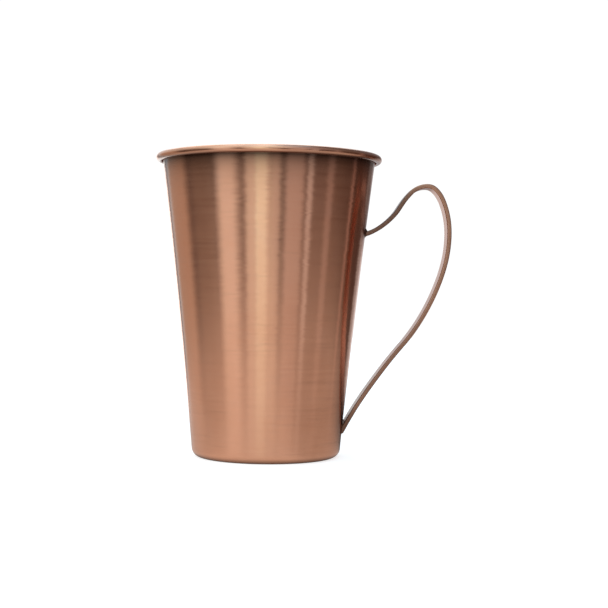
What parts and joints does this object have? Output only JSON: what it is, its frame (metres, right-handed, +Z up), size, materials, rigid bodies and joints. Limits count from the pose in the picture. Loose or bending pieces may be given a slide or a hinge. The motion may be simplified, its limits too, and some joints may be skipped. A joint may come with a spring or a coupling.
{
  "type": "copper mug",
  "caption": "Tall tapered mug in satin-brushed copper with a rolled-out rim and a flat strap handle brazed on at both ends, bent in a question-mark loop.",
  "frame": {"origin": "centre of the flat bottom that the mug stands on, on the cup's axis", "axes": "+Z up along the cup's axis to the open rim, +X from the axis towards the handle"},
  "size_m": [0.1374, 0.1048, 0.14],
  "materials": {
    "cup_copper": "satin copper, brushed round the cup",
    "strap_copper": "satin copper, brushed along the strap",
    "braze_metal": "dull copper-coloured braze, as flowed"
  },
  "bodies": {
    "root": {"cup_body": "cup_copper", "handle_strap": "strap_copper", "upper_braze_fillet": "braze_metal", "lower_braze_fillet": "braze_metal"}
  },
  "joints": []
}
